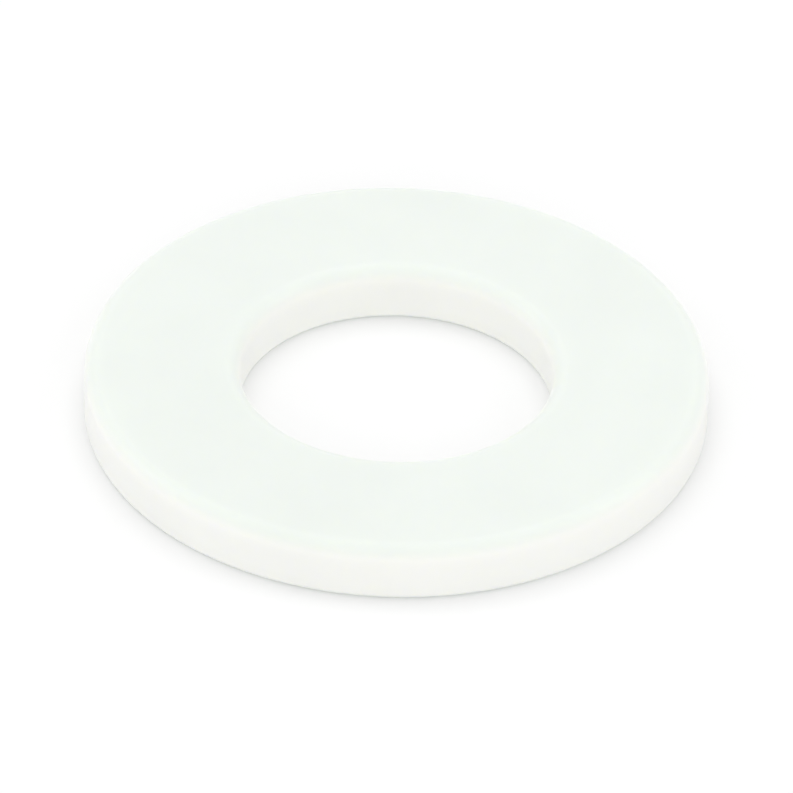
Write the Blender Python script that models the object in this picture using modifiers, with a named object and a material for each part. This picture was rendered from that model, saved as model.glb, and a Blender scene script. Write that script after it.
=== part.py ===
"""Flat washer, 10.5 x 21 x 2 mm, moulded in natural nylon (metric bolt size M10).

Metres, +Z up. The origin is at the centre of the underside, on the bore's axis,
so the washer stands on the plane z = 0.

A flat washer is one piece: a ring with two flat bearing faces, a cylindrical rim
and a cylindrical bore. The edges of its upper side are softly rounded, as the
closed half of the mould leaves them, and the edges of its underside are nearly
square, where the mould parts. The ring is turned from its cross-section.
"""

import math

import bpy

# ---------------------------------------------------------------- dimensions
OUTER_DIAMETER = 0.0210        # across the rim
BORE_DIAMETER = 0.0105         # clears a 10 mm bolt
THICKNESS = 0.0020             # between the two bearing faces
TOP_EDGE_RADIUS = 0.00055      # rounding of the rim and the bore on the upper side
BOTTOM_EDGE_RADIUS = 0.00020   # rounding of the rim and the bore on the underside

# ------------------------------------------------------------------ fineness
STEPS_AROUND = 96              # facets around the axis
TOP_EDGE_STEPS = 5             # facets across each upper rounding
BOTTOM_EDGE_STEPS = 3          # facets across each lower rounding
MERGE = 0.0000005              # closes the turned surface on itself

COLLECTION = "flat_washer"


def clear_scene():
    """Remove every object, so that the part stands alone."""
    for ob in list(bpy.data.objects):
        bpy.data.objects.remove(ob, do_unlink=True)


def corner(centre_r, centre_z, radius, start, steps):
    """Points of a quarter round, a quarter turn clockwise from the start angle.

    The angle is measured in the plane of the section, from +r towards +z.
    """
    pts = []
    for i in range(steps + 1):
        a = math.radians(start - 90.0 * i / steps)
        pts.append((centre_r + radius * math.cos(a), centre_z + radius * math.sin(a)))
    return pts


def section():
    """The ring's cross-section as (radius, height), once round clockwise.

    It starts on the top face, runs over the rim's upper rounding and down the
    outer side, along the underside, up the bore and over the bore's rounding.
    """
    r_out = OUTER_DIAMETER / 2
    r_in = BORE_DIAMETER / 2
    top, bot = TOP_EDGE_RADIUS, BOTTOM_EDGE_RADIUS
    pts = []
    pts += corner(r_out - top, THICKNESS - top, top, 90, TOP_EDGE_STEPS)
    pts += corner(r_out - bot, bot, bot, 0, BOTTOM_EDGE_STEPS)
    pts += corner(r_in + bot, bot, bot, -90, BOTTOM_EDGE_STEPS)
    pts += corner(r_in + top, THICKNESS - top, top, 180, TOP_EDGE_STEPS)
    return pts


def nylon(name):
    """Natural nylon: milky, faintly green, satin."""
    mat = bpy.data.materials.new(name)
    mat.use_nodes = True
    bsdf = next(n for n in mat.node_tree.nodes if n.type == "BSDF_PRINCIPLED")
    bsdf.inputs["Base Color"].default_value = (0.90, 0.94, 0.89, 1.0)
    bsdf.inputs["Roughness"].default_value = 0.38
    bsdf.inputs["Metallic"].default_value = 0.0
    mat.diffuse_color = (0.90, 0.94, 0.89, 1.0)
    return mat


def turned_ring(name, points, steps, material, collection):
    """A closed section in the XZ plane, turned once around Z."""
    verts = [(r, 0.0, z) for r, z in points]
    edges = [(i, (i + 1) % len(verts)) for i in range(len(verts))]
    mesh = bpy.data.meshes.new(name)
    mesh.from_pydata(verts, edges, [])
    mesh.materials.append(material)
    ob = bpy.data.objects.new(name, mesh)
    collection.objects.link(ob)

    screw = ob.modifiers.new("turn", "SCREW")
    screw.axis = "Z"
    screw.angle = math.radians(360.0)
    screw.screw_offset = 0.0
    screw.steps = steps
    screw.render_steps = steps
    screw.use_merge_vertices = True
    screw.merge_threshold = MERGE
    screw.use_smooth_shade = True
    return ob


def build():
    clear_scene()
    parts = bpy.data.collections.new(COLLECTION)
    bpy.context.scene.collection.children.link(parts)
    turned_ring("washer_ring", section(), STEPS_AROUND, nylon("natural_nylon"), parts)


build()
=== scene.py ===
"""Natural nylon flat washer on a white studio sweep.

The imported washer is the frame. Its ring is rebuilt here as a finer turned surface
with the same section, finished as milky satin nylon, and lit as a pale product
picture: a white tent over a glowing white sheet, two side boxes that draw the light
along the rounded edges, and broad bounce from above and from the front.
"""
import math

import bmesh
import bpy
import numpy as np
from mathutils import Matrix, Vector, noise


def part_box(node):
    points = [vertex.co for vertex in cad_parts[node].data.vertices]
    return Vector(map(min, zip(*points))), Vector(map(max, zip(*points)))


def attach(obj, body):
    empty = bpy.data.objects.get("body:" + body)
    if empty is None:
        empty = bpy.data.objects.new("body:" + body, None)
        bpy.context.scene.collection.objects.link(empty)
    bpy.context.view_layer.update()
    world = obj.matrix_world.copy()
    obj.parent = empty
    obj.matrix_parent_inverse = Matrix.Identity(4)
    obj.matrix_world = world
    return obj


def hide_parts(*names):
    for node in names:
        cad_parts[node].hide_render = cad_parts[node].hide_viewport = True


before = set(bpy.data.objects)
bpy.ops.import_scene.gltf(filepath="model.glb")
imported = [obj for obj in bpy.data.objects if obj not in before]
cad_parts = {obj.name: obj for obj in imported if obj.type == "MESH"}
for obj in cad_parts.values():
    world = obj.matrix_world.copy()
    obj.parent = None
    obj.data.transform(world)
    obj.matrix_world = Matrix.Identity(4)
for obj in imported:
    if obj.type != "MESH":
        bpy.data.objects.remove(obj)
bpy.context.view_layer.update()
scene = bpy.context.scene

# ------------------------------------------------------------------ the ring
NODE = "washer_ring"
low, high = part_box(NODE)
R_OUT = (high.x - low.x) / 2
THICK = high.z - low.z
Z0 = low.z
cad = np.array([v.co[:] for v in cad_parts[NODE].data.vertices])
rad = np.hypot(cad[:, 0], cad[:, 1])
R_IN = float(rad.min())
on_top = np.abs(cad[:, 2] - high.z) < 1e-6
on_bottom = np.abs(cad[:, 2] - low.z) < 1e-6
R_TOP = R_OUT - float(rad[on_top].max())        # rounding of the upper edges
R_BOT = R_OUT - float(rad[on_bottom].max())     # rounding of the lower edges

AROUND = 480
TOP_STEPS, BOTTOM_STEPS = 14, 6
FACE_STEPS, WALL_STEPS = 26, 8


def arc(cr, cz, r, start, steps):
    """Quarter round, clockwise from start, in the (radius, height) plane."""
    out = []
    for i in range(steps + 1):
        a = math.radians(start - 90 * i / steps)
        out.append((cr + r * math.cos(a), cz + r * math.sin(a)))
    return out


def run(a, b, steps):
    """Points strictly between a and b."""
    return [
        (a[0] + (b[0] - a[0]) * i / steps, a[1] + (b[1] - a[1]) * i / steps)
        for i in range(1, steps)
    ]


def ring_section():
    """The CAD's cross-section with finer roundings, clockwise from the top face."""
    top, bot = R_TOP, R_BOT
    corners = [
        arc(R_OUT - top, THICK - top, top, 90, TOP_STEPS),
        arc(R_OUT - bot, bot, bot, 0, BOTTOM_STEPS),
        arc(R_IN + bot, bot, bot, -90, BOTTOM_STEPS),
        arc(R_IN + top, THICK - top, top, 180, TOP_STEPS),
    ]
    steps = [WALL_STEPS, FACE_STEPS, WALL_STEPS, FACE_STEPS]
    pts = []
    for i, c in enumerate(corners):
        pts += c
        pts += run(c[-1], corners[(i + 1) % 4][0], steps[i])
    return pts


def turned(name, section, around):
    """The section turned once round Z into a closed mesh of quads."""
    n = len(section)
    bm = bmesh.new()
    rings = []
    for k in range(around):
        a = 2 * math.pi * k / around
        c, s = math.cos(a), math.sin(a)
        rings.append([bm.verts.new((r * c, r * s, Z0 + z)) for r, z in section])
    for k in range(around):
        one, two = rings[k], rings[(k + 1) % around]
        for i in range(n):
            j = (i + 1) % n
            bm.faces.new((one[i], one[j], two[j], two[i]))
    bmesh.ops.recalc_face_normals(bm, faces=bm.faces)
    mesh = bpy.data.meshes.new(name)
    bm.to_mesh(mesh)
    bm.free()
    mesh.shade_smooth()
    ob = bpy.data.objects.new(name, mesh)
    scene.collection.objects.link(ob)
    return ob


washer = turned("washer_body", ring_section(), AROUND)


def moulded(ob):
    """Slight unevenness of a moulded ring: the top face dips by up to 0.015 mm and
    the walls draw in by under 0.01 mm, always inwards, so the outline never grows."""
    co = np.empty(len(ob.data.vertices) * 3)
    ob.data.vertices.foreach_get("co", co)
    co = co.reshape(-1, 3)
    mid = (R_OUT + R_IN) / 2
    half = (R_OUT - R_IN) / 2
    for i, (x, y, z) in enumerate(co):
        r = math.hypot(x, y)
        t = (r - mid) / half
        u = (z - Z0) / THICK * 2 - 1
        wob = noise.noise(Vector((x, y, z)) * 260.0)
        wide = noise.noise(Vector((x, y, z)) * 90.0 + Vector((3, 1, 7)))
        # the top face sinks a little in the middle of the ring
        if u > 0:
            co[i, 2] -= u * (1 - t * t) * (0.000010 + 0.000010 * wide + 0.000004 * wob)
        # the walls draw in a little at mid height
        side = max(0.0, 1 - u * u)
        pull = side * (0.000006 + 0.000006 * wide + 0.000003 * wob)
        if r > 1e-9:
            k = -pull if t > 0 else pull
            k *= min(1.0, abs(t)) ** 4
            co[i, 0] += x / r * k
            co[i, 1] += y / r * k
    ob.data.vertices.foreach_set("co", co.ravel())
    ob.data.update()


moulded(washer)


# ------------------------------------------------------------------ material
def nylon():
    mat = bpy.data.materials.new("nylon_satin")
    mat.use_nodes = True
    nt = mat.node_tree
    nt.nodes.clear()
    new, link = nt.nodes.new, nt.links.new
    out = new("ShaderNodeOutputMaterial")
    bsdf = new("ShaderNodeBsdfPrincipled")
    link(bsdf.outputs[0], out.inputs[0])
    bsdf.inputs["IOR"].default_value = 1.53
    bsdf.inputs["Specular IOR Level"].default_value = 0.6
    bsdf.inputs["Subsurface Weight"].default_value = 1.0
    bsdf.inputs["Subsurface Radius"].default_value = (1.0, 1.0, 0.85)
    bsdf.inputs["Subsurface Scale"].default_value = 0.0003
    where = new("ShaderNodeTexCoord")

    # faces are faintly green and walls, seen through more nylon, a little warmer; the
    # walls are also painted lighter than the faces to make up for the weaker light
    # that falls on them, and the blend across the rounded edges is set to even out
    # their shading: partly tint, partly painted light
    geo = new("ShaderNodeNewGeometry")
    sep = new("ShaderNodeSeparateXYZ")
    link(geo.outputs["Normal"], sep.inputs[0])
    tint_and_painted_light_mask = new("ShaderNodeMapRange")
    tint_and_painted_light_mask.interpolation_type = "SMOOTHSTEP"
    tint_and_painted_light_mask.inputs["From Min"].default_value = 0.1
    tint_and_painted_light_mask.inputs["From Max"].default_value = 0.92
    absz = new("ShaderNodeMath")
    absz.operation = "ABSOLUTE"
    link(sep.outputs["Z"], absz.inputs[0])
    link(absz.outputs[0], tint_and_painted_light_mask.inputs["Value"])
    # painted light: this mix gives the walls a lighter colour than the faces, standing
    # in for the light they lack
    body = new("ShaderNodeMix")
    body.data_type = "RGBA"
    body.inputs["A"].default_value = WALL_COLOUR_PAINTED_LIGHTER
    body.inputs["B"].default_value = FACE_COLOUR
    link(tint_and_painted_light_mask.outputs[0], body.inputs["Factor"])

    # cloudy crystallinity, a few millimetres across
    cloud = new("ShaderNodeTexNoise")
    cloud.inputs["Scale"].default_value = 210.0
    cloud.inputs["Detail"].default_value = 4.0
    cloud.inputs["Roughness"].default_value = 0.55
    link(where.outputs["Object"], cloud.inputs["Vector"])
    tone = new("ShaderNodeMapRange")
    tone.inputs["From Min"].default_value = 0.3
    tone.inputs["From Max"].default_value = 0.7
    tone.inputs["To Min"].default_value = 0.985
    tone.inputs["To Max"].default_value = 1.01
    link(cloud.outputs["Fac"], tone.inputs["Value"])
    shade = new("ShaderNodeVectorMath")
    shade.operation = "SCALE"
    link(body.outputs["Result"], shade.inputs[0])
    link(tone.outputs[0], shade.inputs["Scale"])
    link(shade.outputs[0], bsdf.inputs["Base Color"])

    # satin skin: fine grain in roughness and relief
    grain = new("ShaderNodeTexNoise")
    grain.inputs["Scale"].default_value = 5200.0
    grain.inputs["Detail"].default_value = 3.0
    link(where.outputs["Object"], grain.inputs["Vector"])
    rough = new("ShaderNodeMapRange")
    rough.inputs["From Min"].default_value = 0.25
    rough.inputs["From Max"].default_value = 0.75
    rough.inputs["To Min"].default_value = ROUGH - 0.02
    rough.inputs["To Max"].default_value = ROUGH + 0.05
    link(grain.outputs["Fac"], rough.inputs["Value"])
    link(rough.outputs[0], bsdf.inputs["Roughness"])
    bump = new("ShaderNodeBump")
    bump.inputs["Strength"].default_value = 0.12
    bump.inputs["Distance"].default_value = 0.00001
    link(grain.outputs["Fac"], bump.inputs["Height"])
    link(bump.outputs[0], bsdf.inputs["Normal"])
    return mat


# the wall colour is lighter than the face colour partly as painted light, making up
# for the weaker light on the walls
FACE_COLOUR = (0.789, 0.826, 0.788, 1.0)
WALL_COLOUR_PAINTED_LIGHTER = (0.888, 0.894, 0.860, 1.0)
ROUGH = 0.30
washer.data.materials.append(nylon())
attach(washer, "root")
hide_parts(NODE)


# --------------------------------------------------------------------- stage
FLOOR_GAP = 0.000003    # the washer rests on a few high points of its face
FLOOR_GLOW = 0.185  # light from below the sheet, as on a light table
FAR_GLOW = 0.48     # and more of it out where the boxes no longer reach


def sweep():
    bm = bmesh.new()
    bmesh.ops.create_grid(bm, x_segments=1, y_segments=1, size=3.0)
    mesh = bpy.data.meshes.new("floor")
    bm.to_mesh(mesh)
    bm.free()
    ob = bpy.data.objects.new("floor", mesh)
    scene.collection.objects.link(ob)
    ob.location.z = Z0 - FLOOR_GAP
    mat = bpy.data.materials.new("white_sweep")
    mat.use_nodes = True
    nt = mat.node_tree
    bsdf = next(n for n in nt.nodes if n.type == "BSDF_PRINCIPLED")
    bsdf.inputs["Roughness"].default_value = 0.9
    bsdf.inputs["Specular IOR Level"].default_value = 0.0
    tex = nt.nodes.new("ShaderNodeTexNoise")
    tex.inputs["Scale"].default_value = 40.0
    ramp = nt.nodes.new("ShaderNodeMapRange")
    ramp.inputs["To Min"].default_value = 0.705
    ramp.inputs["To Max"].default_value = 0.715
    nt.links.new(tex.outputs["Fac"], ramp.inputs["Value"])
    nt.links.new(ramp.outputs[0], bsdf.inputs["Base Color"])
    bsdf.inputs["Emission Color"].default_value = (1.0, 1.0, 1.0, 1.0)
    place = nt.nodes.new("ShaderNodeTexCoord")
    reach = nt.nodes.new("ShaderNodeVectorMath")
    reach.operation = "LENGTH"
    nt.links.new(place.outputs["Object"], reach.inputs[0])
    glow = nt.nodes.new("ShaderNodeMapRange")
    glow.interpolation_type = "SMOOTHSTEP"
    glow.inputs["From Min"].default_value = 0.03
    glow.inputs["From Max"].default_value = 0.9
    glow.inputs["To Min"].default_value = FLOOR_GLOW
    glow.inputs["To Max"].default_value = FAR_GLOW
    nt.links.new(reach.outputs["Value"], glow.inputs["Value"])
    nt.links.new(glow.outputs[0], bsdf.inputs["Emission Strength"])
    mesh.materials.append(mat)
    return ob


sweep()

# a white tent: even overhead, a little brighter along the horizon
DOME, HORIZON = 0.755, 1.0
world = bpy.data.worlds.new("studio")
scene.world = world
world.use_nodes = True
wt = world.node_tree
bg = next(n for n in wt.nodes if n.type == "BACKGROUND")
bg.inputs["Color"].default_value = (1.0, 1.0, 1.0, 1.0)
toward = wt.nodes.new("ShaderNodeTexCoord")
split = wt.nodes.new("ShaderNodeSeparateXYZ")
rise = wt.nodes.new("ShaderNodeMapRange")
rise.interpolation_type = "SMOOTHSTEP"
rise.inputs["From Min"].default_value = 0.03
rise.inputs["From Max"].default_value = 0.15
rise.inputs["To Min"].default_value = HORIZON
rise.inputs["To Max"].default_value = DOME
wt.links.new(toward.outputs["Generated"], split.inputs[0])
wt.links.new(split.outputs["Z"], rise.inputs["Value"])
wt.links.new(rise.outputs[0], bg.inputs["Strength"])


def box_light(name, azimuth, elevation, distance, width, height, power, mirrored=True):
    """A white soft box facing the washer. Azimuth 0 is +X and 90 is +Y; power in
    watts. One that isn't mirrored lights the scene without showing as a highlight."""
    a, e = math.radians(azimuth), math.radians(elevation)
    d = Vector((math.cos(a) * math.cos(e), math.sin(a) * math.cos(e), math.sin(e)))
    data = bpy.data.lights.new(name, "AREA")
    data.shape = "RECTANGLE"
    data.size, data.size_y = width, height
    data.energy = power
    ob = bpy.data.objects.new(name, data)
    scene.collection.objects.link(ob)
    ob.location = d * distance
    ob.rotation_mode = "QUATERNION"
    ob.rotation_quaternion = d.to_track_quat("Z", "Y")
    ob.visible_glossy = mirrored
    return ob


# the side boxes draw the light along the rounded edges; the other two are bounce
box_light("box_left", 166, 31, 0.50, 0.20, 0.26, 0.16)
box_light("box_right", 5, 37, 0.50, 0.20, 0.26, 0.16)
box_light("box_above", 105, 76, 0.60, 0.60, 0.50, 1.32, mirrored=False)
box_light("box_front", 272, 25, 0.60, 0.80, 0.24, 0.72, mirrored=False)

# -------------------------------------------------------------------- camera
# The view: elevation, distance and roll; the origin sits a little below centre.
ELEVATION = math.radians(36.47)
ROLL = math.radians(1.51)
DISTANCE = 15.89 * 2 * R_OUT
FOCAL_PX = 9904.0
ORIGIN_PX = (395.7, 409.6)
FRAME_PX = 793.0

back = Vector((0.0, -math.cos(ELEVATION), math.sin(ELEVATION)))
right = Vector((1.0, 0.0, 0.0))
above = Vector((0.0, math.sin(ELEVATION), math.cos(ELEVATION)))
cam_x = right * math.cos(ROLL) + above * math.sin(ROLL)
cam_y = above * math.cos(ROLL) - right * math.sin(ROLL)
dx = (ORIGIN_PX[0] - FRAME_PX / 2) / FOCAL_PX
dy = -(ORIGIN_PX[1] - FRAME_PX / 2) / FOCAL_PX
ahead = (-back - cam_x * dx - cam_y * dy).normalized()
cam_x = (cam_x - ahead * cam_x.dot(ahead)).normalized()
cam_y = (-ahead).cross(cam_x)
cam_data = bpy.data.cameras.new("camera")
cam_data.sensor_fit = "HORIZONTAL"
cam_data.sensor_width = 36.0
cam_data.lens = 36.0 * FOCAL_PX / FRAME_PX
cam_data.clip_start, cam_data.clip_end = 0.01, 20.0
camera = bpy.data.objects.new("camera", cam_data)
scene.collection.objects.link(camera)
camera.matrix_world = Matrix((
    (cam_x.x, cam_y.x, -ahead.x, back.x * DISTANCE),
    (cam_x.y, cam_y.y, -ahead.y, back.y * DISTANCE),
    (cam_x.z, cam_y.z, -ahead.z, back.z * DISTANCE),
    (0.0, 0.0, 0.0, 1.0),
))
scene.camera = camera
scene.cycles.max_bounces = 16
scene.cycles.diffuse_bounces = 12
scene.view_settings.view_transform = "Standard"
scene.view_settings.look = "None"
